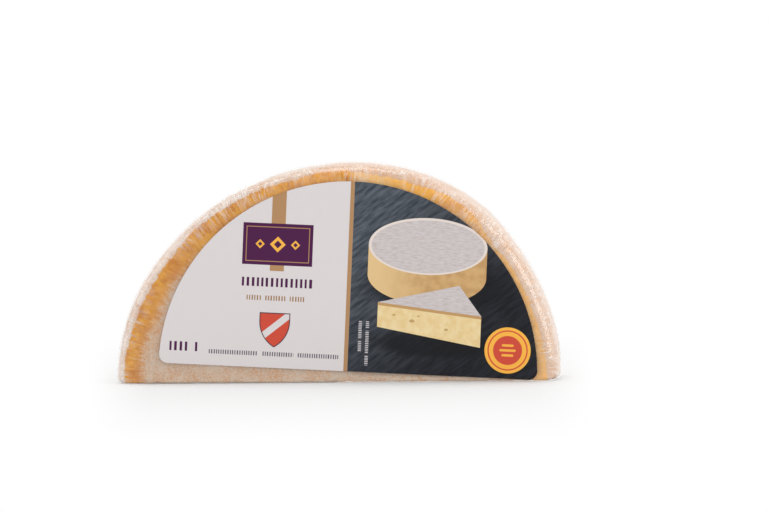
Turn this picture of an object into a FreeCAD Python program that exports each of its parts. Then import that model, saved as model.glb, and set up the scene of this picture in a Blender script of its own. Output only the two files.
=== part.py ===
"""Half wheel of washed-rind cheese in clear wrap, standing on its cut, with a half-round paper label.

Frame: millimetres, +Z up, the origin in the middle of the cut that it stands on. The cut lies in Z = 0,
the wheel's two round faces look along -Y (front, with the label) and +Y (back), and X runs along the cut.
"""

import FreeCAD, Part
import math
import os

import Sketcher

# Driving dimensions, in millimetres and degrees: alias, value, what it is. Angles on the outline are
# measured at the arcs' centres, up from +X.
DIMENSIONS = [
    ("half_width", 68.5, "half the length of the cut, from the middle to one end"),
    ("wheel_thickness", 33.0, "front face to back face"),
    ("shoulder_tighter", 10.5, "how much less than half_width the outline's radius is at its shoulder"),
    ("crown_flatter", 7.5, "how much more it is at its crown, where the wheel has sagged"),
    ("shoulder_from", 42.0, "where the shoulder's arc begins"),
    ("crown_from", 82.0, "where the crown's arc begins"),
    ("crown_to", 143.0, "where the crown's arc ends"),
    ("front_edge_radius", 4.8, "rounding between the front face and the side"),
    ("back_edge_radius", 6.0, "rounding between the back face and the side"),
    ("side_radius", 70.0, "bulge of the side, seen across the wheel"),
    ("rim_depth", 16.0, "how far the swept rim reaches in from the side"),
    ("core_overlap", 4.0, "how far the flat core reaches out into the rim"),
    ("cut_edge_radius", 1.2, "rounding along the edges of the cut, where the wrap is pulled tight"),
    ("label_margin", 10.8, "how much less than half_width the label's radius is"),
    ("label_corner_radius", 2.6, "the label's two lower corners"),
    ("label_thickness", 0.2, "paper, glue and the wrap's folds under it"),
    ("label_shift", 3.6, "middle of the label's straight edge, right of the middle of the wheel"),
    ("label_rise", 3.5, "middle of the label's straight edge, above the cut"),
    ("label_tilt", 3.1, "turn of the label on the face, right end down"),
]

SHEET = "dims"
START, END, CENTRE = 1, 2, 3  # how a constraint names the points of an edge
ORIGIN = -1  # how a constraint names the sketch's origin and its horizontal axis


def make_sheet(doc):
    """The spreadsheet that every sketch and feature reads."""
    sheet = doc.addObject("Spreadsheet::Sheet", SHEET)
    for row, (alias, value, meaning) in enumerate(DIMENSIONS, start=1):
        sheet.set(f"A{row}", alias)
        sheet.set(f"B{row}", str(value))
        sheet.set(f"C{row}", meaning)
        sheet.setAlias(f"B{row}", alias)
    doc.recompute()
    return sheet


def new_sketch(body, name, role):
    """A sketch on one of its body's own origin planes."""
    sketch = body.newObject("Sketcher::SketchObject", name)
    plane = next(f for f in body.Origin.OriginFeatures if f.Role == role)
    sketch.AttachmentSupport = [(plane, "")]
    sketch.MapMode = "FlatFace"
    return sketch


def constrain(sketch, *what, expression=None):
    """Adds a constraint, bound to the spreadsheet if an expression is given."""
    number = sketch.addConstraint(Sketcher.Constraint(*what))
    if expression:
        sketch.setExpression(f"Constraints[{number}]", expression)


def point(x, y):
    return FreeCAD.Vector(x, y, 0)


def polar(radius, degrees):
    turn = math.radians(degrees)
    return point(radius * math.cos(turn), radius * math.sin(turn))


def arc(centre, radius, start, end):
    """An arc from start to end, both in degrees, anticlockwise."""
    circle = Part.Circle(centre, FreeCAD.Vector(0, 0, 1), radius)
    return Part.ArcOfCircle(circle, math.radians(start), math.radians(end))


def outline_arcs(sheet):
    """Centre, radius, first and last angle of the wheel's outline: a chain of four tangent arcs.

    The shoulder and the crown have radii of their own. The two end arcs stand square on the cut, so their
    centres lie on its line, and their radii follow from where the cut ends.
    """
    width = sheet.half_width
    shoulder, crown = width - sheet.shoulder_tighter, width + sheet.crown_flatter
    joints = [sheet.shoulder_from, sheet.crown_from, sheet.crown_to]
    one, two, three = [polar(1.0, angle) for angle in joints]
    span = (one - two) * shoulder + (two - three) * crown
    # Going from centre to centre, the chain ends at the left end of the cut, and square on it, if
    #   right * (one.x - 1) - left * (three.x + 1) = span.x - 2 * width
    #   right * one.y       - left * three.y       = span.y
    along = span.x - 2 * width
    determinant = one.y * (three.x + 1) - (one.x - 1) * three.y
    right = (span.y * (three.x + 1) - along * three.y) / determinant
    left = (span.y * (one.x - 1) - along * one.y) / determinant
    radii = [right, shoulder, crown, left]
    angles = [0.0, *joints, 180.0]
    centre = point(width - right, 0)
    arcs = [(centre, right, angles[0], angles[1])]
    for i in (1, 2, 3):
        centre = centre + polar(radii[i - 1] - radii[i], angles[i])
        arcs.append((centre, radii[i], angles[i], angles[i + 1]))
    return arcs


def outline_sketch(body, name, sheet, inset, inset_formula):
    """The outline in the plane between the two faces, moved in by an inset, with both ends on the cut."""
    sketch = new_sketch(body, name, "XZ_Plane")
    arcs = [(centre, radius - inset, start, end) for centre, radius, start, end in outline_arcs(sheet)]
    edges = [sketch.addGeometry(arc(*each), False) for each in arcs]
    for before, after in zip(edges, edges[1:]):
        constrain(sketch, "Tangent", before, END, after, START)
    for edge, end in ((edges[0], START), (edges[-1], END)):
        constrain(sketch, "PointOnObject", edge, CENTRE, ORIGIN)
        constrain(sketch, "PointOnObject", edge, end, ORIGIN)
    reach = sheet.half_width - inset
    formula = f"{SHEET}.half_width - ({inset_formula})"
    constrain(sketch, "DistanceX", ORIGIN, START, edges[0], START, reach, expression=formula)
    constrain(sketch, "DistanceX", edges[-1], END, ORIGIN, START, reach, expression=formula)
    shoulder = f"{formula} - {SHEET}.shoulder_tighter"
    constrain(sketch, "Radius", edges[1], arcs[1][1], expression=shoulder)
    crown = f"{formula} + {SHEET}.crown_flatter"
    constrain(sketch, "Radius", edges[2], arcs[2][1], expression=crown)
    for number, angle in ((1, "shoulder_from"), (2, "crown_from"), (3, "crown_to")):
        centre, radius, start, _ = arcs[number]
        spoke = sketch.addGeometry(Part.LineSegment(centre, centre + polar(radius, start)), True)
        constrain(sketch, "Coincident", spoke, START, edges[number], CENTRE)
        constrain(sketch, "Coincident", spoke, END, edges[number], START)
        constrain(sketch, "Angle", spoke, math.radians(start), expression=f"{SHEET}.{angle} * 1 deg")
    return sketch, edges


def rim_profile(body, sheet):
    """The section of the rim, in the plane of the cut: flat faces, rounded edges and a bulging side."""
    sketch = new_sketch(body, "rim_profile", "XY_Plane")
    half = sheet.wheel_thickness / 2
    side, inner = sheet.side_radius, sheet.half_width - sheet.rim_depth
    middle = point(sheet.half_width - side, 0)

    def rounding(radius, sign):
        """Centre of the rounding at one face, and the angle at which it meets the side's arc."""
        rise = sign * (half - radius)
        reach = math.sqrt((side - radius) ** 2 - rise**2)
        return point(middle.x + reach, rise), math.degrees(math.atan2(rise, reach))

    front, front_turn = rounding(sheet.front_edge_radius, -1)
    back, back_turn = rounding(sheet.back_edge_radius, 1)
    ring = [
        Part.LineSegment(point(inner, -half), point(front.x, -half)),
        arc(front, sheet.front_edge_radius, -90.0, front_turn),
        arc(middle, side, front_turn, back_turn),
        arc(back, sheet.back_edge_radius, back_turn, 90.0),
        Part.LineSegment(point(back.x, half), point(inner, half)),
        Part.LineSegment(point(inner, half), point(inner, -half)),
    ]
    front_face, front_edge, bulge, back_edge, back_face, inside = [
        sketch.addGeometry(each, False) for each in ring
    ]
    constrain(sketch, "Tangent", front_face, END, front_edge, START)
    constrain(sketch, "Tangent", front_edge, END, bulge, START)
    constrain(sketch, "Tangent", bulge, END, back_edge, START)
    constrain(sketch, "Tangent", back_edge, END, back_face, START)
    constrain(sketch, "Coincident", back_face, END, inside, START)
    constrain(sketch, "Coincident", inside, END, front_face, START)
    constrain(sketch, "Horizontal", front_face)
    constrain(sketch, "Horizontal", back_face)
    constrain(sketch, "Vertical", inside)
    constrain(sketch, "PointOnObject", bulge, CENTRE, ORIGIN)
    formula = f"{SHEET}.wheel_thickness / 2"
    constrain(sketch, "DistanceY", inside, END, ORIGIN, START, half, expression=formula)
    constrain(sketch, "DistanceY", ORIGIN, START, inside, START, half, expression=formula)
    formula = f"{SHEET}.half_width - {SHEET}.rim_depth"
    constrain(sketch, "DistanceX", ORIGIN, START, inside, START, inner, expression=formula)
    formula = f"{SHEET}.half_width - {SHEET}.side_radius"
    constrain(sketch, "DistanceX", ORIGIN, START, bulge, CENTRE, middle.x, expression=formula)
    for edge, cell in (
        (front_edge, "front_edge_radius"),
        (bulge, "side_radius"),
        (back_edge, "back_edge_radius"),
    ):
        constrain(sketch, "Radius", edge, getattr(sheet, cell), expression=f"{SHEET}.{cell}")
    return sketch


def make_half_wheel(doc, sheet):
    """The wrapped half wheel: a flat core, and a rounded rim swept round it, both ending on the cut."""
    body = doc.addObject("PartDesign::Body", "half_wheel")
    body.Label = "half_wheel"

    inset = sheet.rim_depth - sheet.core_overlap
    formula = f"{SHEET}.rim_depth - {SHEET}.core_overlap"
    profile, edges = outline_sketch(body, "core_outline", sheet, inset, formula)
    reach = sheet.half_width - inset
    cut = profile.addGeometry(Part.LineSegment(point(-reach, 0), point(reach, 0)), False)
    constrain(profile, "Coincident", cut, START, edges[-1], END)
    constrain(profile, "Coincident", cut, END, edges[0], START)
    core = body.newObject("PartDesign::Pad", "core")
    core.Profile = profile
    core.SideType = "Symmetric"
    core.setExpression("Length", f"{SHEET}.wheel_thickness")
    doc.recompute()

    path, _ = outline_sketch(body, "rim_path", sheet, 0.0, "0")
    section = rim_profile(body, sheet)
    rim = body.newObject("PartDesign::AdditivePipe", "rim")
    rim.Profile = section
    rim.Spine = (path, [])
    doc.recompute()

    base = min(rim.Shape.Faces, key=lambda face: face.BoundBox.ZMax)
    names = [
        f"Edge{number}"
        for number, edge in enumerate(rim.Shape.Edges, start=1)
        if any(edge.isSame(other) for other in base.Edges)
    ]
    rounding = body.newObject("PartDesign::Fillet", "cut_edges")
    rounding.Base = (rim, names)
    rounding.setExpression("Radius", f"{SHEET}.cut_edge_radius")
    doc.recompute()
    return body


def make_label(doc, sheet):
    """The label: a half disc of paper with two rounded corners, stuck on the front face, a little askew."""
    body = doc.addObject("PartDesign::Body", "label")
    body.Label = "label"
    sketch = new_sketch(body, "label_outline", "XZ_Plane")
    radius, corner = sheet.half_width - sheet.label_margin, sheet.label_corner_radius
    reach = math.sqrt((radius - corner) ** 2 - corner**2)
    turn = math.degrees(math.atan2(corner, reach))
    ring = [
        arc(point(0, 0), radius, turn, 180 - turn),
        arc(point(-reach, corner), corner, 180 - turn, 270.0),
        Part.LineSegment(point(-reach, 0), point(reach, 0)),
        arc(point(reach, corner), corner, -90.0, turn),
    ]
    edges = [sketch.addGeometry(each, False) for each in ring]
    for before, after in zip(edges, edges[1:] + edges[:1]):
        constrain(sketch, "Tangent", before, END, after, START)
    constrain(sketch, "Coincident", edges[0], CENTRE, ORIGIN, START)
    constrain(sketch, "PointOnObject", edges[2], START, ORIGIN)
    formula = f"{SHEET}.half_width - {SHEET}.label_margin"
    constrain(sketch, "Radius", edges[0], radius, expression=formula)
    for edge in (edges[1], edges[3]):
        constrain(sketch, "Radius", edge, corner, expression=f"{SHEET}.label_corner_radius")
    paper = body.newObject("PartDesign::Pad", "paper")
    paper.Profile = sketch
    paper.setExpression("Length", f"{SHEET}.label_thickness")
    body.Placement = FreeCAD.Placement(
        FreeCAD.Vector(sheet.label_shift, -sheet.wheel_thickness / 2, sheet.label_rise),
        FreeCAD.Rotation(FreeCAD.Vector(0, 1, 0), sheet.label_tilt),
    )
    body.setExpression(".Placement.Base.x", f"{SHEET}.label_shift")
    body.setExpression(".Placement.Base.y", f"-{SHEET}.wheel_thickness / 2")
    body.setExpression(".Placement.Base.z", f"{SHEET}.label_rise")
    body.setExpression(".Placement.Rotation.Angle", f"{SHEET}.label_tilt * 1 deg")
    doc.recompute()
    return body


def check(doc, bodies):
    """Stops if a feature failed or a sub-part isn't one valid solid."""
    failed = [each.Name for each in doc.Objects if {"Invalid", "Error"} & set(each.State)]
    if failed:
        raise RuntimeError(f"failed objects: {failed}")
    for body in bodies:
        shape = body.Shape
        if shape.isNull() or not shape.isValid() or len(shape.Solids) != 1:
            raise RuntimeError(f"{body.Label} is not one valid solid")


def main():
    doc = FreeCAD.newDocument("half_wheel_cheese")
    sheet = make_sheet(doc)
    bodies = [make_half_wheel(doc, sheet), make_label(doc, sheet)]
    check(doc, bodies)
    os.makedirs("parts", exist_ok=True)
    for body in bodies:
        box = body.Shape.optimalBoundingBox()
        size = [round(length, 2) for length in (box.XLength, box.YLength, box.ZLength)]
        print(f"{body.Label}: {size} mm, {body.Shape.Volume / 1000:.1f} cm3")
        body.Shape.exportStep(f"parts/{body.Label}.step")


main()
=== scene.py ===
"""Half wheel of washed-rind cheese in clear wrap, with a half-round label, standing on its cut."""

import math

import bpy
import numpy as np
from mathutils import Matrix, Vector
from mathutils.bvhtree import BVHTree


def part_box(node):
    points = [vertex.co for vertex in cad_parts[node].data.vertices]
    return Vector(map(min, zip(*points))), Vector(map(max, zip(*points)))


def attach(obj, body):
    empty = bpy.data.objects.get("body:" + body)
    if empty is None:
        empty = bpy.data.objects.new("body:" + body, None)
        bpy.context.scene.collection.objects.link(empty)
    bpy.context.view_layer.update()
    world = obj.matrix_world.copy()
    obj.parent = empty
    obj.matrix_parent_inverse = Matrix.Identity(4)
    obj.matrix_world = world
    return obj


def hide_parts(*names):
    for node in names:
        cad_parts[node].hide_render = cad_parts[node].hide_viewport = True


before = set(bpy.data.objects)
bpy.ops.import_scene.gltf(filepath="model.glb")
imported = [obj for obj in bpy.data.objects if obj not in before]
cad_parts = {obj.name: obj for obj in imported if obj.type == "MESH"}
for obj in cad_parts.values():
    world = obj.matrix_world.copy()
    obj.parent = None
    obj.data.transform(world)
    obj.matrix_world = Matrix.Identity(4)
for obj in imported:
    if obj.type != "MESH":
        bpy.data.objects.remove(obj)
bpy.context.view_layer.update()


# ---------------------------------------------------------------- the cheese
# Half of a soft pressed wheel, cut through the middle: ivory paste in an orange washed rind, which is bare
# along the rounded edges and has a white bloom elsewhere. It is swept along the CAD solid's own outline.

MM = 0.001
CLEARANCE = 0.25 * MM  # the cheese lies this far inside the wrap
CUT_EDGE = 0.4 * MM  # rounding of the faces where the wrap is pulled round the edges of the cut
CUT_CORNER = 1.8 * MM  # the same rounding on the side, where the cheese gives more
RIM_WIDTH = 14 * MM  # how much of each face counts as rim
ABOVE_CUT = 2 * MM  # a height at which the side is clear of the rounded edge of the cut
OUTLINE_SOFTNESS = 2.5 * MM  # the outline and the section are averaged over these lengths
SECTION_SOFTNESS = 0.5 * MM
RAYS = 721  # how many rays find the outline, and the section
BENT = 0.02  # a row whose normal leans out by more than this is past the flat of the face
ROUNDED = 17.5  # millimetres over the surface from the middle of the side to where the edge's rounding ends
FLAT = 21.5  # and to where the face is quite flat
LUMP_HEIGHT = 0.5 * MM  # the slow lumps of the side, which the wrap follows
LUMP_SIZE = 22.0 * MM

_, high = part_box("half_wheel")
surface = BVHTree.FromObject(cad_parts["half_wheel"], bpy.context.evaluated_depsgraph_get())


def distances(points):
    """How far along a polyline each of its points lies."""
    steps = np.linalg.norm(np.diff(points, axis=0), axis=1)
    return np.concatenate([[0], np.cumsum(steps)])


def resample(points, count):
    """count points, evenly spaced along a polyline."""
    at = distances(points)
    wanted = np.linspace(0, at[-1], count)
    return np.stack([np.interp(wanted, at, column) for column in points.T], 1)


def smooth(points, length, count):
    """An evenly spaced polyline's middle count points, averaged over that length with a bell curve, and
    their outward normals."""
    width = length / np.linalg.norm(points[1] - points[0])
    reach = int(3 * width)
    bell = np.exp(-0.5 * (np.arange(-reach, reach + 1) / width) ** 2)
    bell /= bell.sum()
    points = np.stack([np.convolve(column, bell, "valid") for column in points.T], 1)
    along = np.gradient(points, axis=0)
    along /= np.linalg.norm(along, axis=1)[:, None]
    normals = np.stack([along[:, 1], -along[:, 0]], 1)
    extra = (len(points) - count) // 2
    return points[extra : extra + count], normals[extra : extra + count]


def fan(start, first, last, axis):
    """Where rays from start leave the solid, as X and that axis, while they turn from the first angle to
    the last, in degrees from X towards the axis."""
    hits = []
    for angle in np.radians(np.linspace(first, last, RAYS)):
        direction = Vector((math.cos(angle), 0, 0))
        direction[axis] = math.sin(angle)
        hit = surface.ray_cast(start, direction)[0]
        hits.append((hit.x, hit[axis]))
    return np.array(hits)


def outline(columns):
    """The outline in X and Z, its outward normals, and the distance along it from the right end."""
    ring = fan(Vector((0, 0, ABOVE_CUT)), 0, 180, 2)
    ring = np.vstack([[ring[0, 0], 0], ring, [ring[-1, 0], 0]])
    ring = resample(ring, columns + 1)
    spare = 40
    mirror = np.array([1, -1])  # the outline goes on below the cut as its own reflection
    ring = np.vstack([ring[spare:0:-1] * mirror, ring, ring[-2 : -spare - 2 : -1] * mirror])
    ring, normals = smooth(ring, OUTLINE_SOFTNESS, columns + 1)
    ring[[0, -1], 1] = 0
    return ring, normals, distances(ring)


def section(rows):
    """The rim's section as depth in from the side and Y, its outward normals, and the distance along it
    from the middle of the side: below zero towards the front."""
    line = fan(Vector((high.x - RIM_WIDTH, 0, ABOVE_CUT)), -90, 90, 1)
    ends = line[[0, -1]]
    line = resample(line, rows)
    spare = 12  # the faces go on straight past both ends
    before = line[0] + np.outer(np.arange(-spare, 0), line[1] - line[0])
    after = line[-1] + np.outer(np.arange(1, spare + 1), line[-1] - line[-2])
    line, normals = smooth(np.vstack([before, line, after]), SECTION_SOFTNESS, rows)
    line[[0, -1]] = ends
    across = distances(line)
    across -= np.interp(0, line[:, 1], across)
    depth = line[:, 0].max() - line[:, 0]
    return np.stack([depth, line[:, 1]], 1), normals, across


def swept_skin(inset, columns, rim_rows, face_rows):
    """The rim and both faces, that far inside the solid. Each place round the rim has a row of points,
    from the middle of the front face out, over the rim, and in to the middle of the back face. With the
    points come their distances along and across the rim, and the first row past the flat of the front."""
    ring, ring_normals, along = outline(columns)
    line, line_normals, across = section(rim_rows)
    rows = 2 * face_rows + rim_rows
    points = np.zeros((columns + 1, rows, 3))
    normals = np.zeros_like(points)
    marks = np.zeros((columns + 1, rows, 2))

    rim = slice(face_rows, face_rows + rim_rows)
    flat = ring[:, None, :] - line[None, :, :1] * ring_normals[:, None, :]
    points[:, rim, 0] = flat[..., 0]
    points[:, rim, 1] = line[None, :, 1]
    points[:, rim, 2] = flat[..., 1]
    normals[:, rim, 0] = ring_normals[:, None, 0] * line_normals[None, :, 0]
    normals[:, rim, 1] = line_normals[None, :, 1]
    normals[:, rim, 2] = ring_normals[:, None, 1] * line_normals[None, :, 0]
    marks[:, rim, 1] = across[None, :]

    inner = np.linspace(0, 1, face_rows + 1)[:-1]
    front = (-1, slice(0, face_rows), face_rows, inner, across[0])
    back = (1, slice(rows - face_rows, rows), face_rows + rim_rows - 1, inner[::-1], across[-1])
    for side, face, edge_row, order, start in (front, back):
        rim_edge = points[:, edge_row, :]
        points[:, face, :] = rim_edge[:, None, :] * order[None, :, None]
        points[:, face, 1] = rim_edge[:, None, 1]
        normals[:, face, 1] = side
        left_over = np.linalg.norm(rim_edge[:, [0, 2]], axis=1)[:, None] * (1 - order)[None, :]
        marks[:, face, 1] = side * left_over + start
    marks[..., 0] = along[:, None]
    points[..., 2] = np.maximum(points[..., 2], 0)
    points -= normals * inset

    # The lower ends turn under the rounded edge of the cut.
    edge = CUT_EDGE + (CUT_CORNER - CUT_EDGE) * np.hypot(normals[..., 0], normals[..., 2])
    turn = np.clip(1 - points[..., 2] / edge, 0, 1) * math.pi / 2
    points -= normals * (edge * (1 - np.cos(turn)))[..., None]
    points[..., 2] = np.where(turn > 0, edge * (1 - np.sin(turn)), points[..., 2])
    top = points[..., 2].max()
    points[..., 2] = inset + points[..., 2] * (1 - inset / top)

    bent = np.abs(line_normals[:, 0]) > BENT
    first = face_rows + int(min(np.argmax(bent), np.argmax(bent[::-1])))
    return points, marks, first


def cut_strips(points, marks, index, first, inset):
    """Rows of point numbers across the cut, from the right end to the left, and the points that they add.
    They join the rim's two ends from where the front's rounded edge begins to where the back's ends."""
    rows = points.shape[1]
    last = rows - 1 - first
    right_half = points[0, first:0:-1, 0] / points[0, first, 0]
    left_half = points[-1, 1 : first + 1, 0] / points[-1, first, 0]
    spread = np.concatenate([right_half[1:], [0], -left_half[:-1]])[:, None]
    count = index.size
    strips = [[*index[0, first:0:-1], index[0, 0], *index[-1, 1 : first + 1]]]
    new_points = []
    new_marks = []
    for row in range(first + 1, last):
        crossing = np.where(spread > 0, points[0, row] * spread, points[-1, row] * -spread)
        crossing[:, 1] = points[0, row, 1]
        crossing[:, 2] = inset
        strips.append([index[0, row], *range(count, count + len(crossing)), index[-1, row]])
        count += len(crossing)
        new_points.append(crossing)
        new_marks.append(np.tile(marks[0, row], (len(crossing), 1)))
    strips.append([*index[0, last : rows - 1], index[0, -1], *index[-1, last : rows - 1][::-1]])
    return strips, new_points, new_marks


def wheel_shell(name, inset, columns, rim_rows, face_rows):
    """A closed skin that far inside the solid: the rim, the two faces and the cut. Its points carry along
    and across, the distances round the rim and over it in millimetres, and its faces carry cut."""
    points, marks, first = swept_skin(inset, columns, rim_rows, face_rows)
    index = np.arange(points[..., 0].size).reshape(points.shape[:2])
    index[:, 0] = index[0, 0]
    index[:, -1] = index[0, -1]
    faces = []
    for here, there in zip(index[:-1], index[1:]):
        faces += [(here[0], here[1], there[1]), (here[-2], here[-1], there[-2])]
        faces += list(zip(here[1:-2], here[2:-1], there[2:-1], there[1:-2]))
    skin_faces = len(faces)
    strips, new_points, new_marks = cut_strips(points, marks, index, first, inset)
    for front, back in zip(strips[:-1], strips[1:]):
        faces += list(zip(front[:-1], front[1:], back[1:], back[:-1]))
    points = np.vstack([points.reshape(-1, 3), *new_points])
    marks = np.vstack([marks.reshape(-1, 2), *new_marks]) / MM

    used = np.unique(np.concatenate([np.array(face) for face in faces]))
    renumber = np.zeros(len(points), int)
    renumber[used] = np.arange(len(used))
    mesh = bpy.data.meshes.new(name)
    mesh.from_pydata(points[used].tolist(), [], [tuple(renumber[list(face)]) for face in faces])
    for number, title in enumerate(("along", "across")):
        mesh.attributes.new(title, "FLOAT", "POINT").data.foreach_set("value", marks[used, number])
    cut = np.arange(len(faces)) >= skin_faces
    mesh.attributes.new("cut", "BOOLEAN", "FACE").data.foreach_set("value", cut)
    mesh.shade_smooth()
    made = bpy.data.objects.new(name, mesh)
    bpy.context.scene.collection.objects.link(made)
    return made


def connect(tree, made, inputs):
    """Gives a node's sockets, by name or number, a value or another node's output."""
    for name, value in inputs.items():
        if isinstance(value, bpy.types.NodeSocket):
            tree.links.new(value, made.inputs[name])
        else:
            made.inputs[name].default_value = value


def node(tree, kind, inputs=None, **settings):
    """Adds a node with these settings and inputs."""
    made = tree.nodes.new(kind)
    for name, value in settings.items():
        setattr(made, name, value)
    connect(tree, made, inputs or {})
    return made


def calculate(tree, operation, *values, clamp=False):
    """A Math node's output."""
    inputs = dict(enumerate(values))
    return node(tree, "ShaderNodeMath", inputs, operation=operation, use_clamp=clamp).outputs[0]


def product(tree, *values):
    """All of the values multiplied."""
    made = values[0]
    for value in values[1:]:
        made = calculate(tree, "MULTIPLY", made, value)
    return made


def between(tree, value, lowest, highest, start=0.0, end=1.0):
    """start below lowest, end above highest, and a smooth step from one to the other."""
    inputs = {"Value": value, "From Min": lowest, "From Max": highest, "To Min": start, "To Max": end}
    return node(tree, "ShaderNodeMapRange", inputs, interpolation_type="SMOOTHSTEP").outputs[0]


def noise(tree, vector, size, detail=2.0, roughness=0.5):
    """Smooth noise from 0 to 1, whose lumps are about that size in the vector's units."""
    scale = calculate(tree, "DIVIDE", 1.0, size) if isinstance(size, bpy.types.NodeSocket) else 1 / size
    inputs = {"Vector": vector, "Scale": scale, "Detail": detail, "Roughness": roughness}
    return node(tree, "ShaderNodeTexNoise", inputs).outputs[0]


def split(tree, vector):
    """A vector's X, Y and Z."""
    return node(tree, "ShaderNodeSeparateXYZ", {0: vector}).outputs


def join(tree, *values):
    """A vector of up to three values."""
    return node(tree, "ShaderNodeCombineXYZ", dict(enumerate(values))).outputs[0]


def scaled(tree, vector, amount):
    """A vector times an amount."""
    return node(tree, "ShaderNodeVectorMath", {0: vector, "Scale": amount}, operation="SCALE").outputs[0]


def mix(tree, factor, start, end):
    """The number start where the factor is 0, and end where it is 1."""
    return node(tree, "ShaderNodeMix", {"Factor": factor, "A": start, "B": end}).outputs[0]


def stops(tree, value, *pairs):
    """A number that takes each given amount at each given place, and eases from one to the next."""
    made = pairs[0][1]
    for (start, _), (end, amount) in zip(pairs, pairs[1:]):
        made = mix(tree, between(tree, value, start, end), made, amount)
    return made


def geometry_tree(name, sizes):
    """A Geometry Nodes tree with a geometry socket and one named input for each size or material."""
    tree = bpy.data.node_groups.new(name, "GeometryNodeTree")
    tree.interface.new_socket("Geometry", in_out="INPUT", socket_type="NodeSocketGeometry")
    for title, value in sizes.items():
        kind = "NodeSocketFloat" if isinstance(value, float) else "NodeSocketMaterial"
        socket = tree.interface.new_socket(title, in_out="INPUT", socket_type=kind)
        if kind == "NodeSocketFloat":
            socket.default_value = value
    tree.interface.new_socket("Geometry", in_out="OUTPUT", socket_type="NodeSocketGeometry")
    return tree, tree.nodes.new("NodeGroupInput").outputs


def named(tree, title, data_type="FLOAT"):
    """A mesh attribute, inside a Geometry Nodes tree."""
    inputs = {"Name": title}
    return node(tree, "GeometryNodeInputNamedAttribute", inputs, data_type=data_type).outputs[0]


def push_out(tree, geometry, height):
    """The geometry with each point moved out by that height."""
    outwards = tree.nodes.new("GeometryNodeInputNormal").outputs[0]
    inputs = {"Geometry": geometry, "Offset": scaled(tree, outwards, height)}
    return node(tree, "GeometryNodeSetPosition", inputs).outputs[0]


def coat(tree, geometry, material, selection=True):
    """The geometry with its selected faces in that material."""
    inputs = {"Geometry": geometry, "Selection": selection, "Material": material}
    return node(tree, "GeometryNodeSetMaterial", inputs).outputs[0]


def realized(tree, geometry):
    """The geometry with anything that is an instance made real."""
    return node(tree, "GeometryNodeRealizeInstances", {0: geometry}).outputs[0]


def shape_with(piece, tree, sizes):
    """Runs the tree on the piece with these sizes, and makes the result the piece's own mesh."""
    modifier = piece.modifiers.new(tree.name, "NODES")
    modifier.node_group = tree
    for item in tree.interface.items_tree:
        if item.in_out == "INPUT" and item.name in sizes:
            modifier[item.identifier] = sizes[item.name]
    shaped = piece.evaluated_get(bpy.context.evaluated_depsgraph_get())
    old = piece.data
    mesh = bpy.data.meshes.new_from_object(shaped)
    piece.modifiers.remove(modifier)
    piece.data = mesh
    bpy.data.meshes.remove(old)
    mesh.name = piece.name


def colour(red, green, blue):
    """A colour as painted, 0 to 255, in the linear numbers that a shader takes."""
    linear = []
    for level in (red, green, blue):
        linear.append(level / 255 / 12.92 if level <= 10 else ((level / 255 + 0.055) / 1.055) ** 2.4)
    return (*linear, 1.0)


def blend(tree, mask, under, over):
    """The colour under, painted with the colour over where the mask is 1."""
    made = node(tree, "ShaderNodeMix", data_type="RGBA")
    kinds = {"Factor": "VALUE", "A": "RGBA", "B": "RGBA"}  # the node has a socket of each name for each kind
    numbers = {s.name: n for n, s in enumerate(made.inputs) if kinds.get(s.name) == s.type}
    connect(tree, made, {numbers["Factor"]: mask, numbers["A"]: under, numbers["B"]: over})
    return next(socket for socket in made.outputs if socket.type == "RGBA")


def new_material(name):
    """A material with its Principled BSDF, and the object's own coordinates in millimetres."""
    material = bpy.data.materials.new(name)
    material.use_nodes = True
    tree = material.node_tree
    place = tree.nodes.new("ShaderNodeTexCoord").outputs["Object"]
    in_mm = node(tree, "ShaderNodeMapping", {"Vector": place, "Scale": (1 / MM,) * 3}).outputs[0]
    return material, tree, tree.nodes["Principled BSDF"], in_mm


def attribute(tree, title):
    """A mesh attribute, inside a material."""
    return node(tree, "ShaderNodeAttribute", attribute_name=title).outputs["Fac"]


def bump(tree, height, strength, distance, invert=False):
    """The normal of a surface whose height from 0 to 1 stands for that distance."""
    inputs = {"Height": height, "Strength": strength, "Distance": distance}
    return node(tree, "ShaderNodeBump", inputs, invert=invert).outputs[0]


DEEP_SKIN = colour(190, 114, 14)
BRIGHT_SKIN = colour(224, 158, 40)
BLEACHED_SKIN = colour(236, 188, 120)
FRESH_SKIN = colour(238, 172, 52)
FACE_SKIN = colour(204, 152, 107)
SIDE_SKIN = colour(206, 162, 126)
SIDE_BLOOM = colour(212, 193, 177)
PINK_BLOOM = colour(205, 171, 146)
PALE_BLOOM_AND_SHEEN = colour(224, 211, 203)
FACE_BLOOM = colour(211, 191, 171)
DEEP_PASTE = colour(238, 212, 156)
PALE_PASTE = colour(244, 226, 184)
# the paste inside the eyes, darker as painted shade
SHADED_EYE_PASTE = colour(212, 176, 112)
CUT_RIND = colour(222, 154, 66)

RIND_INNER = 2.8  # millimetres in from the side at which the rind starts to show on the cut
RIND_OUTER = 2.2  # and from which it shows in full

# How the rind changes round the rim: millimetres from the right end of the cut, and the amount there.
BAND_START = (  # millimetres over the surface from the middle of the side to the bare band
    (0, 17.0), (22, 18.0), (48, 18.4), (66, 15.8), (80, 16.6), (92, 16.8), (108, 14.8), (125, 16.3),
    (152, 15.7), (175, 17.2), (205, 16.9),
)
BLEACHED = ((5, 0.7), (30, 0.6), (60, 0.35), (80, 0.1), (92, 0.7), (99, 0.7), (104, 0.0))
FRESH = ((66, 0.0), (78, 0.7), (87, 0.7), (93, 0.0))
SIDE_COVER = ((60, 0.0), (90, -0.45), (108, -0.45), (125, 0.05))


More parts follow.
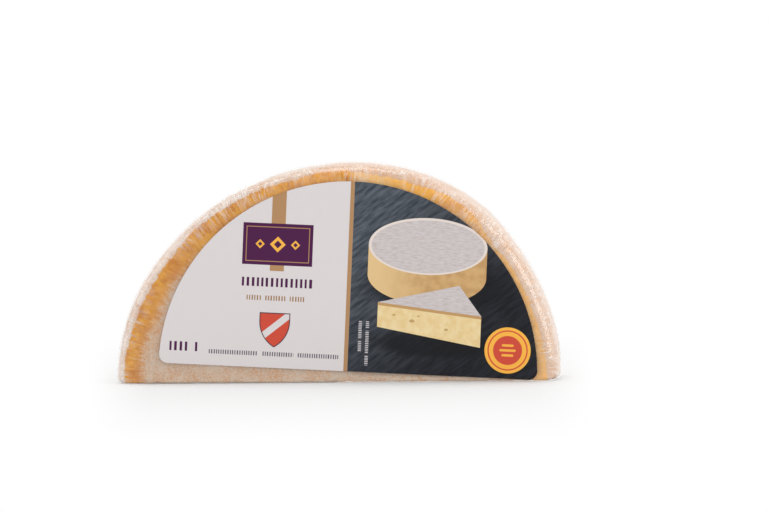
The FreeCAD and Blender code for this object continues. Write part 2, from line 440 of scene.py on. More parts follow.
def rind_material():
    """Orange skin, bare along the rounded edges, under a bloom that lies thick and pinkish on the side,
    paler towards the upper left, where it also paints the film's whitish sheen, and is worn to a fine mottle
    on the faces."""
    material, tree, shader, place = new_material("rind")
    along = attribute(tree, "along")
    across = calculate(tree, "ABSOLUTE", attribute(tree, "across"))

    def swing(value, amount, start=0.0):
        """start, plus or minus up to half the amount as the noise swings."""
        return calculate(tree, "MULTIPLY_ADD", value, amount, start - amount / 2)

    def total(*values):
        """The sum of all the values."""
        made = values[0]
        for value in values[1:]:
            made = calculate(tree, "ADD", made, value)
        return made

    grain = noise(tree, place, 0.55, detail=3.0, roughness=0.7)
    patches = noise(tree, place, 5.0, detail=3.0, roughness=0.6)
    sway = noise(tree, place, 15.0, detail=1.0)
    drawn = join(tree, calculate(tree, "DIVIDE", along, 0.7), calculate(tree, "DIVIDE", across, 3.5))
    fingers = noise(tree, drawn, 1.0, detail=4.0, roughness=0.7)

    # Across the rim: bloom on the side, then a bare band with a ragged edge, then the mottled face.
    ragged = swing(noise(tree, place, 2.4, detail=3.0, roughness=0.6), 2.4)
    outer = total(across, ragged, swing(fingers, 2.2), swing(sway, 1.6))
    outer = calculate(tree, "SUBTRACT", outer, stops(tree, along, *BAND_START))
    outer = between(tree, outer, -0.35, 0.35)
    inner = total(across, swing(fingers, 5.0), swing(sway, 6.0))
    inner = between(tree, inner, 19.5, 25.5)

    # How thick the bloom lies: on the side, on the band and on the face.
    side_cover = total(swing(grain, 2.0, 0.68), swing(patches, 2.2), stops(tree, along, *SIDE_COVER))
    band_cover = total(swing(fingers, 1.5, -0.1), swing(patches, 0.5))
    bleached = stops(tree, along, *BLEACHED)
    band_cover = calculate(tree, "MULTIPLY_ADD", bleached, 0.4, band_cover)
    face_cover = total(swing(grain, 2.3, 0.64), swing(patches, 1.1))
    cover = mix(tree, outer, side_cover, mix(tree, inner, band_cover, face_cover))
    bloom = between(tree, cover, 0.1, 0.9)

    shade = calculate(tree, "MULTIPLY_ADD", fingers, 0.5, product(tree, patches, 0.5))
    skin = blend(tree, between(tree, shade, 0.36, 0.62), DEEP_SKIN, BRIGHT_SKIN)
    skin = blend(tree, bleached, skin, BLEACHED_SKIN)
    skin = blend(tree, stops(tree, along, *FRESH), skin, FRESH_SKIN)
    skin = blend(tree, product(tree, outer, inner), skin, FACE_SKIN)
    skin = blend(tree, outer, SIDE_SKIN, skin)
    white = blend(tree, noise(tree, place, 7.0), SIDE_BLOOM, PINK_BLOOM)
    # Paler towards the upper left: whiter bloom, with the film's whitish sheen at a glance painted in too.
    white = blend(tree, between(tree, along, 122.0, 150.0, end=0.7), white, PALE_BLOOM_AND_SHEEN)
    white = blend(tree, outer, white, FACE_BLOOM)
    height = total(grain, product(tree, bloom, 0.8))
    connect(tree, shader, {
        "Base Color": blend(tree, bloom, skin, white),
        "Roughness": between(tree, bloom, 0.0, 1.0, start=0.5, end=0.85),
        "Specular IOR Level": 0.2,
        "Normal": bump(tree, height, strength=0.5, distance=0.15 * MM),
    })
    return material


def paste_material():
    """The cut: supple ivory paste with a few small eyes, darkened inside with painted shade, and the rind as
    a thin orange line round it.
    """
    material, tree, shader, place = new_material("paste")
    eye_spacing = 6.0
    inputs = {"Vector": place, "Scale": 1 / eye_spacing}
    eyes = node(tree, "ShaderNodeTexVoronoi", inputs).outputs["Distance"]
    hole = between(tree, eyes, 0.1, 0.16, start=1.0, end=0.0)
    painted = blend(tree, noise(tree, place, 6.0, detail=3.0), DEEP_PASTE, PALE_PASTE)
    # Painted shade: the paste is darker inside the eyes.
    painted = blend(tree, product(tree, hole, 0.5), painted, SHADED_EYE_PASTE)
    ragged = calculate(tree, "MULTIPLY_ADD", noise(tree, place, 2.0, detail=3.0), 1.2, -0.6)
    x, y, _ = split(tree, place)
    rind = 0.0
    for distance, edge in ((x, high.x / MM), (y, high.y / MM)):
        reach = calculate(tree, "ADD", calculate(tree, "ABSOLUTE", distance), ragged)
        rind = calculate(tree, "MAXIMUM", rind, between(tree, reach, edge - RIND_INNER, edge - RIND_OUTER))
    connect(tree, shader, {
        "Base Color": blend(tree, rind, painted, CUT_RIND),
        "Roughness": 0.35,
        "Specular IOR Level": 0.3,
        "Normal": bump(tree, hole, strength=0.8, distance=0.4 * MM, invert=True),
    })
    return material


def swelling(tree, place, across, size, height):
    """Slow lumps of the side, up to that height; the faces stay flat, and so does the foot."""
    lump = calculate(tree, "MULTIPLY_ADD", noise(tree, place, size), 2.0, -1.0)
    on_side = between(tree, calculate(tree, "ABSOLUTE", across), 13.0, FLAT, start=1.0, end=0.0)
    off_foot = between(tree, split(tree, place)[2], 0.5 * MM, 5.0 * MM)
    return product(tree, lump, height, on_side, off_foot)


def rind_relief():
    """Lifts the side in slow lumps, sinks dips and pores into the rind, and takes crumbs off the edge of
    the cut."""
    sizes = {
        "Lump height": LUMP_HEIGHT, "Lump size": LUMP_SIZE,
        "Dip depth": 0.35 * MM, "Dip size": 12.0 * MM,
        "Pore depth": 0.3 * MM, "Pore size": 2.5 * MM,
        "Crumb depth": 0.3 * MM, "Crumb size": 3.0 * MM,
        "Rind": rind_material(), "Paste": paste_material(),
    }
    tree, given = geometry_tree("rind_relief", sizes)
    place = tree.nodes.new("GeometryNodeInputPosition").outputs[0]
    above = split(tree, place)[2]

    def sunk(kind, start, end):
        """A depth below the surface, wherever the noise of that size goes from start to end."""
        value = noise(tree, place, given[kind + " size"])
        return product(tree, between(tree, value, start, end), given[kind + " depth"])

    off_foot = between(tree, above, 0.8 * MM, 3.0 * MM)
    on_foot = between(tree, above, 1.0 * MM, 2.2 * MM, start=1.0, end=0.0)
    dips = product(tree, sunk("Dip", 0.3, 0.7), off_foot)
    pores = product(tree, sunk("Pore", 0.3, 0.7), off_foot)
    crumbs = product(tree, sunk("Crumb", 0.5, 0.62), on_foot)
    height = swelling(tree, place, named(tree, "across"), given["Lump size"], given["Lump height"])
    for depth in (dips, pores, crumbs):
        height = calculate(tree, "SUBTRACT", height, depth)
    moved = realized(tree, push_out(tree, given["Geometry"], height))
    rinded = coat(tree, moved, given["Rind"])
    pasted = coat(tree, rinded, given["Paste"], named(tree, "cut", "BOOLEAN"))
    node(tree, "NodeGroupOutput", {0: pasted})
    return tree, sizes


cheese = wheel_shell("cheese", CLEARANCE, columns=420, rim_rows=76, face_rows=42)
shape_with(cheese, *rind_relief())
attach(cheese, "root")
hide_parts("half_wheel")


# ---------------------------------------------------------------- the clear wrap
# One layer of clear stretch film, pulled tight round the cheese and under its cut. It lies flat on the
# faces, and over the rounded edges it gathers in short pleats that run across the rim.

# Folds in the film: spacing along the rim and length across it, in millimetres, and a seed.
PLEATS = (3.0, 12.0, 3.0)
CREASES = (1.3, 10.0, 5.0)
TICKS = (0.8, 3.0, 9.0)
PLEAT_PATCHES = 7.0  # seeds of the patches in which the folds lie
CREASE_PATCHES = 31.0
TICK_PATCHES = 53.0
# How strongly the painted highlights show round the rim, by millimetres from the right end of the cut.
TICK_AMOUNT = ((0, 0.25), (50, 0.4), (85, 0.7), (108, 1.0), (140, 1.0), (160, 0.35), (200, 0.2))
FILM_INDEX = 1.5
FILM_WHITE = (0.92, 0.9, 0.87, 1)  # the film where it is creased, and the white of the painted highlights on the ticks
SHOW_THROUGH = 0.4  # how much of that white lets light through from behind
CLEAR_HAZE = 0.01  # how much of it shows where the film is flat, on a fold, and on a tick, where it is a painted highlight
FOLD_HAZE = 0.5
PAINTED_GLINT_WHITE = 0.85


def folds(tree, along, across, spacing, length, seed, sharpness):
    """Ridges from 0 to 1 that run across the rim, at odd places."""
    x = calculate(tree, "DIVIDE", along, spacing)
    y = calculate(tree, "DIVIDE", across, length)
    value = noise(tree, join(tree, x, y, seed), 1.0, detail=1.0)
    slope = calculate(tree, "ABSOLUTE", calculate(tree, "MULTIPLY_ADD", value, 2.0, -1.0))
    return calculate(tree, "SUBTRACT", 1.0, product(tree, slope, sharpness), clamp=True)


def shifted_patches(tree, place, seed, size, start, end):
    """Patches of about that size, from 0 to 1 where the noise goes from start to end."""
    shifted = node(tree, "ShaderNodeVectorMath", {0: place, 1: (seed,) * 3}, operation="ADD").outputs[0]
    return between(tree, noise(tree, shifted, size), start, end)


def gathered(tree, place, across, seed):
    """Where the film gathers: in patches over the rounded edges, less on the side, hardly on the faces."""
    depth = calculate(tree, "ABSOLUTE", across)
    off_side = between(tree, depth, 6.0, 13.5, start=0.15)
    off_face = between(tree, depth, ROUNDED, FLAT, start=1.0, end=0.04)
    patches = shifted_patches(tree, place, seed, size=16.0, start=0.4, end=0.62)
    return product(tree, off_side, off_face, patches)


def painted_glints(tree, place, along, across):
    """Painted highlights: short white ticks where the gathers turn over the rounded edge, in place of the
    lamps' glinting there.
    """
    depth = calculate(tree, "ABSOLUTE", across)
    ticks = calculate(tree, "POWER", folds(tree, along, across, *TICKS, sharpness=4.0), 2.0)
    off_side = between(tree, depth, 11.5, 13.5)
    off_face = between(tree, depth, 15.5, 17.0, start=1.0, end=0.0)
    patches = shifted_patches(tree, place, TICK_PATCHES, size=7.0, start=0.42, end=0.6)
    return product(tree, ticks, off_side, off_face, patches, stops(tree, along, *TICK_AMOUNT))


def film_material():
    """Clear glossy film: see-through, mirroring at a glance, whitish along its creases, and with painted
    white highlights over the rounded edges.
    """
    material, tree, shader, place = new_material("film")
    tree.nodes.remove(shader)
    along = attribute(tree, "along")
    across = attribute(tree, "across")
    creases = calculate(tree, "POWER", folds(tree, along, across, *CREASES, sharpness=4.0), 2.0)
    creases = product(tree, creases, gathered(tree, place, across, CREASE_PATCHES))
    pleats = calculate(tree, "POWER", folds(tree, along, across, *PLEATS, sharpness=5.0), 2.0)
    pleats = product(tree, pleats, gathered(tree, place, across, PLEAT_PATCHES))
    gathers = calculate(tree, "ADD", creases, pleats)
    height = calculate(tree, "MULTIPLY_ADD", noise(tree, place, 5.0, detail=1.0), 1.2, gathers)
    normal = bump(tree, height, strength=0.5, distance=0.12 * MM)

    # From inside, the film is still a sheet with air behind it, so its index is turned round there.
    from_inside = tree.nodes.new("ShaderNodeNewGeometry").outputs["Backfacing"]
    index = mix(tree, from_inside, FILM_INDEX, 1 / FILM_INDEX)
    sheen = node(tree, "ShaderNodeFresnel", {"IOR": index, "Normal": normal}).outputs[0]
    gloss = node(tree, "ShaderNodeBsdfGlossy", {"Color": (1, 1, 1, 1), "Roughness": 0.1, "Normal": normal})
    clear = node(tree, "ShaderNodeBsdfTransparent")
    film = node(tree, "ShaderNodeMixShader", {0: sheen, 1: clear.outputs[0], 2: gloss.outputs[0]})
    front = node(tree, "ShaderNodeBsdfDiffuse", {"Color": FILM_WHITE, "Normal": normal})
    through = node(tree, "ShaderNodeBsdfTranslucent", {"Color": FILM_WHITE, "Normal": normal})
    white = node(tree, "ShaderNodeMixShader", {0: SHOW_THROUGH, 1: front.outputs[0], 2: through.outputs[0]})
    # Painted highlights: white ticks over the rounded edges, strongest over the upper left.
    ticks = painted_glints(tree, place, along, across)
    haze_and_glints = calculate(tree, "MULTIPLY_ADD", gathers, FOLD_HAZE, CLEAR_HAZE)
    haze_and_glints = calculate(tree, "MULTIPLY_ADD", ticks, PAINTED_GLINT_WHITE, haze_and_glints, clamp=True)
    creased = node(tree, "ShaderNodeMixShader", {0: haze_and_glints, 1: film.outputs[0], 2: white.outputs[0]})
    connect(tree, tree.nodes["Material Output"], {"Surface": creased.outputs[0]})
    return material


def wrap_pleats():
    """Lifts the film in pleats where it gathers, and leaves it flat under the cut."""
    spacing, length, seed = PLEATS
    sizes = {
        "Pleat height": 0.18 * MM, "Pleat spacing": spacing, "Pleat length": length,
        "Slack height": 0.12 * MM, "Slack size": 9.0,
        "Lump height": LUMP_HEIGHT, "Lump size": LUMP_SIZE,
        "Film": film_material(),
    }
    tree, given = geometry_tree("wrap_pleats", sizes)
    along = named(tree, "along")
    across = named(tree, "across")
    position = tree.nodes.new("GeometryNodeInputPosition").outputs[0]
    place = scaled(tree, position, 1 / MM)
    size = given["Pleat spacing"], given["Pleat length"]
    ridges = folds(tree, along, across, *size, seed, sharpness=2.5)
    ridges = product(tree, ridges, gathered(tree, place, across, PLEAT_PATCHES), given["Pleat height"])
    slack = noise(tree, place, given["Slack size"], detail=1.0)
    off_face = between(tree, calculate(tree, "ABSOLUTE", across), ROUNDED, FLAT, start=1.0, end=0.1)
    slack = product(tree, slack, off_face, given["Slack height"])
    off_foot = between(tree, split(tree, place)[2], 0.2, 2.0)
    height = product(tree, calculate(tree, "ADD", ridges, slack), off_foot)
    lumps = swelling(tree, position, across, given["Lump size"], given["Lump height"])
    height = calculate(tree, "ADD", height, lumps)
    moved = realized(tree, push_out(tree, given["Geometry"], height))
    node(tree, "NodeGroupOutput", {0: coat(tree, moved, given["Film"])})
    return tree, sizes


wrap = wheel_shell("clear_wrap", 0.0, columns=620, rim_rows=56, face_rows=42)
shape_with(wrap, *wrap_pleats())
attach(wrap, "root")
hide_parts("half_wheel")


# ---------------------------------------------------------------- the label
# A half disc of coated paper, printed and stuck on over the wrap a little askew. Its print is plain fields
# of ink, laid out in millimetres from the middle of its straight edge, where the left half meets the right.

LABEL_RADIUS = 57.7
LABEL_TURN = math.radians(3.1)
SOFT = 0.05  # how far the ink spreads at the edge of a field
COLUMN = -22.7  # the middle of the pale half, on which its print is lined up

PAPER = colour(217, 211, 211)
GOLD = colour(176, 136, 96)
PURPLE = colour(76, 30, 72)
INK = colour(92, 82, 96)
BRONZE = colour(158, 120, 84)
RED = colour(204, 78, 60)
YELLOW = colour(244, 180, 74)
OUTLINE = colour(70, 52, 66)
PALE_SLATE = (colour(52, 60, 70), colour(96, 102, 110))
DARK_SLATE = (colour(24, 25, 30), colour(40, 42, 48))
SHADOW = colour(24, 24, 28)
SHADOW_DEPTH = 0.8
PALE_PRINT = colour(205, 200, 202)
PRINTED_RIND = (colour(205, 198, 198), colour(188, 177, 174))
RIND_EDGE = colour(226, 214, 206)
PRINTED_PASTE = (colour(226, 198, 142), colour(234, 212, 164))
PRINTED_EYE = colour(192, 160, 104)
CRUST = colour(190, 150, 100)
PRINTED_CRUST = (CRUST, colour(206, 168, 116))
LIT_CRUST = colour(222, 190, 138)


def shader_group(name, inputs):
    """A shader node group with these inputs, and one output called Mask."""
    group = bpy.data.node_groups.new(name, "ShaderNodeTree")
    for title, kind in inputs.items():
        group.interface.new_socket(title, in_out="INPUT", socket_type=kind)
    group.interface.new_socket("Mask", in_out="OUTPUT", socket_type="NodeSocketFloat")
    return group, group.nodes.new("NodeGroupInput").outputs


def vector_math(tree, operation, *values):
    """A Vector Math node's output."""
    made = node(tree, "ShaderNodeVectorMath", dict(enumerate(values)), operation=operation)
    return made.outputs["Value" if operation in ("LENGTH", "DOT_PRODUCT") else "Vector"]


def turned(tree, vector, angle):
    """A vector turned in the plane of the label."""
    inputs = {"Vector": vector, "Angle": angle}
    return node(tree, "ShaderNodeVectorRotate", inputs, rotation_type="Y_AXIS").outputs[0]


def box_field():
    """The mask of a rectangle with rounded corners, turned about its own centre."""
    group, given = shader_group("box_field", {
        "Place": "NodeSocketVector", "Centre": "NodeSocketVector", "Half size": "NodeSocketVector",
        "Turn": "NodeSocketFloat", "Corner": "NodeSocketFloat",
    })
    moved = vector_math(group, "SUBTRACT", given["Place"], given["Centre"])
    shrunk = vector_math(group, "SUBTRACT", given["Half size"], given["Corner"])
    folded = vector_math(group, "ABSOLUTE", turned(group, moved, given["Turn"]))
    x, _, z = split(group, vector_math(group, "SUBTRACT", folded, shrunk))
    outside = join(group, calculate(group, "MAXIMUM", x, 0.0), 0.0, calculate(group, "MAXIMUM", z, 0.0))
    inside = calculate(group, "MINIMUM", calculate(group, "MAXIMUM", x, z), 0.0)
    reach = calculate(group, "ADD", vector_math(group, "LENGTH", outside), inside)
    reach = calculate(group, "SUBTRACT", reach, given["Corner"])
    node(group, "NodeGroupOutput", {0: between(group, reach, -SOFT, SOFT, start=1.0, end=0.0)})
    return group


def disc_field():
    """The mask of an ellipse, with an edge as soft as given."""
    group, given = shader_group("disc_field", {
        "Place": "NodeSocketVector", "Centre": "NodeSocketVector", "Radii": "NodeSocketVector",
        "Soft": "NodeSocketFloat",
    })
    moved = vector_math(group, "SUBTRACT", given["Place"], given["Centre"])
    ratio = vector_math(group, "LENGTH", vector_math(group, "DIVIDE", moved, given["Radii"]))
    inner = calculate(group, "SUBTRACT", 1.0, given["Soft"])
    outer = calculate(group, "ADD", 1.0, given["Soft"])
    node(group, "NodeGroupOutput", {0: between(group, ratio, inner, outer, start=1.0, end=0.0)})
    return group


class LabelPrint:
    """The label as it is printed: masks of plain fields, and the colours painted so far."""

    def __init__(self, tree, place):
        self.tree = tree
        self.place = place
        self.box_group = box_field()
        self.disc_group = disc_field()
        self.painted = PAPER

    def paint(self, mask, ink):
        """Paints the ink over what is there, wherever the mask is 1."""
        self.painted = blend(self.tree, mask, self.painted, ink)

    def box(self, x, z, width, height, turn=0.0, corner=0.0):
        """A rectangle about that centre, turned by so many degrees."""
        inputs = {
            "Place": self.place, "Centre": (x, 0, z), "Half size": (width / 2, 0, height / 2),
            "Turn": math.radians(turn), "Corner": corner,
        }
        return node(self.tree, "ShaderNodeGroup", inputs, node_tree=self.box_group).outputs[0]

    def disc(self, x, z, wide, tall=None, soft=None):
        """A disc of radius wide, or an ellipse that reaches so far across and up."""
        tall = tall or wide
        soft = soft or SOFT / tall
        inputs = {"Place": self.place, "Centre": (x, 0, z), "Radii": (wide, 1, tall), "Soft": soft}
        return node(self.tree, "ShaderNodeGroup", inputs, node_tree=self.disc_group).outputs[0]

    def polygon(self, *corners):
        """A convex polygon, its corners given anticlockwise."""
        sides = []
        for (x, z), (next_x, next_z) in zip(corners, corners[1:] + corners[:1]):
            length = math.hypot(next_x - x, next_z - z)
            inward = (-(next_z - z) / length, 0, (next_x - x) / length)
            reach = vector_math(self.tree, "DOT_PRODUCT", self.place, inward)
            reach = calculate(self.tree, "SUBTRACT", reach, x * inward[0] + z * inward[2])
            sides.append(between(self.tree, reach, -SOFT, SOFT))
        return product(self.tree, *sides)

    def either(self, one, other):
        """Two fields as one."""
        return calculate(self.tree, "MAXIMUM", one, other)

    def grain(self, inks, size, detail, start, end, stretch=(1, 1, 1)):
        """Two inks, mixed by a noise that goes from start to end."""
        place = vector_math(self.tree, "MULTIPLY", self.place, stretch)
        mask = between(self.tree, noise(self.tree, place, size, detail), start, end)
        return blend(self.tree, mask, *inks)

    def word(self, x, z, width, height, ink, upright=False):
        """A bar broken into even strokes, as print too small to read."""
        reading = vector_math(self.tree, "MULTIPLY", self.place, (0, 0, 1) if upright else (1, 0, 0))
        pitch = 0.55 * height
        turns = vector_math(self.tree, "DOT_PRODUCT", reading, (math.tau / pitch,) * 3)
        turns = calculate(self.tree, "MULTIPLY_ADD", noise(self.tree, reading, 2.0 * height), 5.0, turns)
        strokes = between(self.tree, calculate(self.tree, "SINE", turns), -0.2, 0.3)
        size = (height, width) if upright else (width, height)
        self.paint(product(self.tree, self.box(x, z, *size, corner=0.2 * height), strokes), ink)


def print_panel(sheet):
    """A gold ribbon behind a purple panel with a gold line round it and three lozenges."""
    level = 37.6
    sheet.paint(sheet.box(COLUMN, 46.0, 4.3, 33.0), GOLD)
    for width, height, ink in ((21.4, 12.7, PURPLE), (19.4, 10.7, GOLD), (18.9, 10.2, PURPLE)):
        sheet.paint(sheet.box(COLUMN, level, width, height), ink)
    for step, size in ((-5.4, 2.0), (0.0, 3.4), (5.4, 2.0)):
        sheet.paint(sheet.box(COLUMN + step, level, size, size, turn=45.0), YELLOW)
        sheet.paint(sheet.box(COLUMN + step, level, size / 2, size / 2, turn=45.0), PURPLE)


def print_lines(sheet):
    """Lines of small print on the pale half, each as its middle, height, ink and words."""
    gap = 1.3
    lines = (
        (COLUMN, 26.0, 2.7, PURPLE, [22.4]),
        (COLUMN, 21.2, 1.5, BRONZE, [4.4, 6.2, 4.6]),
        (-50.3, 5.4, 2.8, PURPLE, [6.2, 1.9]),
        (COLUMN, 4.2, 1.3, INK, [15.0, 9.6, 12.4]),
    )
    for x, z, height, ink, words in lines:
        left = x - (sum(words) + gap * (len(words) - 1)) / 2
        for width in words:
            sheet.word(left + width / 2, z, width, height, ink)
            left += width + gap


def print_shield(sheet):
    """A shield with a square head over two arcs that meet in a point, and a pale band across it."""
    half = 4.4
    head = 2.3
    shoulder = 14.2

    def shield(grow):
        """The shield's field, grown by so much all round."""
        radius = 2 * half + grow
        top_part = sheet.box(COLUMN, shoulder + head / 2, 2 * half + 2 * grow, head + 2 * grow)
        arcs = sheet.disc(COLUMN - half, shoulder, radius), sheet.disc(COLUMN + half, shoulder, radius)
        below = sheet.polygon((-60, -9), (60, -9), (60, shoulder), (-60, shoulder))
        return sheet.either(top_part, product(sheet.tree, *arcs, below))

    field = shield(0.0)
    band = sheet.box(COLUMN, shoulder - 1.6, 20.0, 2.0, turn=40.0)
    sheet.paint(shield(0.3), OUTLINE)
    sheet.paint(field, RED)
    sheet.paint(product(sheet.tree, field, band), PAPER)


def print_slate(sheet):
    """The right half: slate, split along slanting lines and darker towards its lower right, with a gold
    line down its left edge."""
    tree = sheet.tree
    x, _, z = split(tree, sheet.place)
    slanted = vector_math(tree, "MULTIPLY", turned(tree, sheet.place, math.radians(38)), (0.16, 1, 1))
    strokes = between(tree, noise(tree, slanted, 1.1, detail=3.0, roughness=0.6), 0.3, 0.7)
    shade = calculate(tree, "MULTIPLY_ADD", x, 0.55, product(tree, z, -0.45))
    shade = between(tree, shade, -24.0, 16.0)
    slate = blend(tree, shade, blend(tree, strokes, *PALE_SLATE), blend(tree, strokes, *DARK_SLATE))
    sheet.paint(between(tree, x, -SOFT, SOFT), slate)
    sheet.paint(sheet.box(-0.6, 28.0, 1.2, 70.0), GOLD)


def print_cheeses(sheet):
    """On the slate: a whole wheel, and a wedge in front of it, each with its shadow."""
    tree = sheet.tree
    x = split(tree, sheet.place)[0]
    rind = sheet.grain(PRINTED_RIND, size=0.6, detail=3.0, start=0.35, end=0.75, stretch=(0.3, 1, 1.4))
    paste = sheet.grain(PRINTED_PASTE, size=2.5, detail=2.0, start=0.3, end=0.7)
    crust = sheet.grain(PRINTED_CRUST, size=3.0, detail=3.0, start=0.35, end=0.65)

    middle = 23.0
    foot = 30.0
    top = 39.0
    wide = 18.0
    tall = 8.6
    wall = sheet.box(middle, (foot + top) / 2, 2 * wide, top - foot)
    wheel = sheet.either(sheet.disc(middle, foot, wide, tall), wall)
    lit = between(tree, x, 6.0, 26.0, start=1.0, end=0.0)
    sheet.paint(product(tree, sheet.disc(26.0, 27.0, 21.0, 7.5, soft=0.25), SHADOW_DEPTH), SHADOW)
    sheet.paint(wheel, crust)
    sheet.paint(product(tree, wheel, lit), LIT_CRUST)
    sheet.paint(sheet.disc(middle, top, wide, tall), RIND_EDGE)
    sheet.paint(sheet.disc(middle, top - 0.1, wide - 0.8, tall - 0.6), rind)

    left = (8.5, 21.5)
    right = (40.0, 18.5)
    back = (33.0, 27.5)
    eyes = ((13.5, 17.8, 0.5), (19.0, 16.2, 0.8), (20.9, 17.7, 0.4), (29.5, 14.0, 0.6))
    sheet.paint(product(tree, sheet.disc(27.0, 9.5, 19.0, 4.0, soft=0.3), SHADOW_DEPTH), SHADOW)
    sheet.paint(sheet.polygon((8.5, 14.0), (40.0, 9.0), right, left), paste)
    sheet.paint(sheet.polygon((8.5, 20.6), (40.0, 17.6), right, left), CRUST)
    for eye_x, eye_z, eye_wide in eyes:
        sheet.paint(sheet.disc(eye_x, eye_z, eye_wide, 0.6 * eye_wide), PRINTED_EYE)
    sheet.paint(sheet.polygon(left, right, back), rind)


def print_seal(sheet):
    """Small print up the side of the slate, and a round seal with three bars."""
    for x, words in ((3.4, [5.2, 3.4]), (5.6, [2.2, 6.8, 3.0])):
        top_end = 15.5
        for width in words:
            sheet.word(x, top_end - width / 2, width, 1.0, PALE_PRINT, upright=True)
            top_end -= width + 0.7
    seal_x = 48.4
    seal_z = 8.6
    for radius, ink in ((7.0, YELLOW), (6.1, RED), (5.7, YELLOW), (4.4, RED)):
        sheet.paint(sheet.disc(seal_x, seal_z, radius), ink)
    for step, width in ((-1.5, 3.6), (0.0, 5.0), (1.5, 3.6)):
        sheet.paint(sheet.box(seal_x, seal_z + step, width, 0.7, corner=0.35), YELLOW)


def label_material():
    """Coated paper with its print, slightly wavy."""
    material, tree, shader, in_mm = new_material("label_print")
    _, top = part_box("label")
    centre = (top.x / MM - LABEL_RADIUS, 0, top.z / MM - LABEL_RADIUS)
    place = turned(tree, vector_math(tree, "SUBTRACT", in_mm, centre), -LABEL_TURN)
    place = vector_math(tree, "MULTIPLY", place, (1, 0, 1))
    sheet = LabelPrint(tree, place)
    for print_part in (print_panel, print_lines, print_shield, print_slate, print_cheeses, print_seal):
        print_part(sheet)
    connect(tree, shader, {
        "Base Color": sheet.painted,
        "Roughness": 0.42,
        "Specular IOR Level": 0.12,
        "Normal": bump(tree, noise(tree, place, 12.0, detail=1.0), strength=0.3, distance=0.4 * MM),
    })
    return material


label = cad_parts["label"]
label.data.materials.clear()
label.data.materials.append(label_material())


# ---------------------------------------------------------------- the studio
# A white table in a light tent: soft light from above and from both sides, and a white surround. The
# table is grey in a soft patch round the foot of the object, a painted shadow in which the object's real
# shadow falls too, and is plain white beyond it.

MIDDLE = (0, 0, 0.03)  # what the lamps and the camera are turned to
TENT_GLOW = 0.93
# The table's grey, seen by the camera only in the patch, where it is painted shadow.
TABLE_GREY = (0.68, 0.68, 0.68, 1)
TABLE_REACH = 3.0
PATCH_WIDTH = (57.0, 80.0)  # where the patch of painted shadow begins to fade and where it ends, in millimetres
PATCH_DEPTH = (50.0, 250.0)
SIGHT_SLANT = 0.079  # the patch runs along the line of sight, and narrows towards the front
SIGHT_LENGTH = 1300.0


def area_lamp(name, place, size, power):
    """A soft box of that width and height, turned to the object."""
    lamp = bpy.data.lights.new(name, "AREA")
    lamp.shape = "RECTANGLE"
    lamp.size = size[0]
    lamp.size_y = size[1]
    lamp.energy = power
    made = bpy.data.objects.new(name, lamp)
    made.location = place
    made.rotation_euler = (Vector(place) - Vector(MIDDLE)).to_track_quat("Z", "Y").to_euler()
    bpy.context.scene.collection.objects.link(made)


def light_tent():
    """A world that is white to the camera and in reflections, and a little dimmer as a light."""
    world = bpy.data.worlds.new("tent")
    world.use_nodes = True
    tree = world.node_tree
    path = tree.nodes.new("ShaderNodeLightPath").outputs
    seen = calculate(tree, "MAXIMUM", path["Is Camera Ray"], path["Is Glossy Ray"])
    seen = calculate(tree, "MAXIMUM", seen, path["Is Transmission Ray"])
    strength = between(tree, seen, 0.0, 1.0, start=TENT_GLOW)
    connect(tree, tree.nodes["Background"], {"Color": (1, 1, 1, 1), "Strength": strength})
    return world


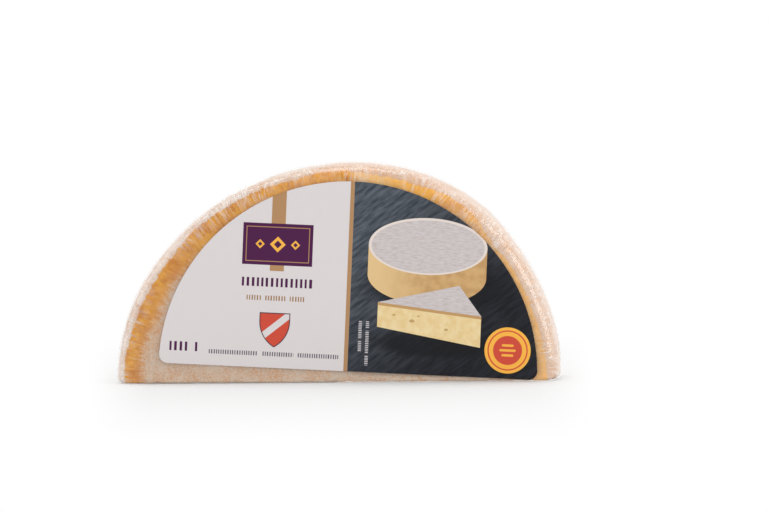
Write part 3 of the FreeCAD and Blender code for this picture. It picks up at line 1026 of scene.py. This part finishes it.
def table_material():
    """A matt grey table that shows as a patch of painted shadow round the object, with its real shadow in
    it, and white beyond and in reflections.
    """
    material, tree, shader, place = new_material("table")
    connect(tree, shader, {"Base Color": TABLE_GREY, "Roughness": 0.9, "Specular IOR Level": 0.0})
    x, y, _ = split(tree, place)
    x = calculate(tree, "MULTIPLY_ADD", y, SIGHT_SLANT, x)
    x = product(tree, x, calculate(tree, "MULTIPLY_ADD", y, -1 / SIGHT_LENGTH, 1.0))
    # Painted shadow: a grey patch round the foot that fades to white.
    across = between(tree, calculate(tree, "ABSOLUTE", x), *PATCH_WIDTH, start=1.0, end=0.0)
    away = between(tree, calculate(tree, "ABSOLUTE", y), *PATCH_DEPTH, start=1.0, end=0.0)
    beyond = calculate(tree, "SUBTRACT", 1.0, product(tree, across, away))
    path = tree.nodes.new("ShaderNodeLightPath").outputs
    reflected = calculate(tree, "MAXIMUM", path["Is Glossy Ray"], path["Is Transmission Ray"])
    white = calculate(tree, "MAXIMUM", product(tree, beyond, path["Is Camera Ray"]), reflected)
    glow = node(tree, "ShaderNodeEmission", {"Color": (1, 1, 1, 1), "Strength": 1.0})
    mixed = node(tree, "ShaderNodeMixShader", {0: white, 1: shader.outputs[0], 2: glow.outputs[0]})
    connect(tree, tree.nodes["Material Output"], {"Surface": mixed.outputs[0]})
    return material


area_lamp("top", (-0.1, 0.1, 0.7), (0.4, 0.3), 1.0)
area_lamp("left", (-0.8, -0.1, 0.4), (0.5, 0.7), 1.7)
area_lamp("right", (0.8, -0.2, 0.4), (0.5, 0.7), 3.8)
bpy.context.scene.world = light_tent()

corners = [(TABLE_REACH * x, TABLE_REACH * y, 0) for x, y in ((-1, -1), (1, -1), (1, 1), (-1, 1))]
mesh = bpy.data.meshes.new("floor")
mesh.from_pydata(corners, [], [(0, 1, 2, 3)])
mesh.materials.append(table_material())
floor = bpy.data.objects.new("floor", mesh)
bpy.context.scene.collection.objects.link(floor)

# The camera looks almost square at the label, a little from the right and from above.
AZIMUTH = math.radians(4.5)
ELEVATION = math.radians(2.5)
ROLL = math.radians(-0.72)
DISTANCE = 1.3

facing = Vector((math.sin(AZIMUTH), -math.cos(AZIMUTH), 0))
back = facing * math.cos(ELEVATION) + Vector((0, 0, math.sin(ELEVATION)))
right = Vector((math.cos(AZIMUTH), math.sin(AZIMUTH), 0))
roll = Matrix.Rotation(ROLL, 3, back)
axes = Matrix([roll @ right, roll @ back.cross(right), back]).transposed()
camera = bpy.data.objects.new("camera", bpy.data.cameras.new("camera"))
bpy.context.scene.collection.objects.link(camera)
camera.matrix_world = Matrix.Translation(Vector(MIDDLE) + back * DISTANCE) @ axes.to_4x4()
camera.data.lens = 197.9
camera.data.shift_x = 0.0598
camera.data.shift_y = 0.033
camera.data.clip_start = 0.1
camera.data.clip_end = 10
bpy.context.scene.camera = camera
bpy.context.scene.view_settings.view_transform = "Standard"
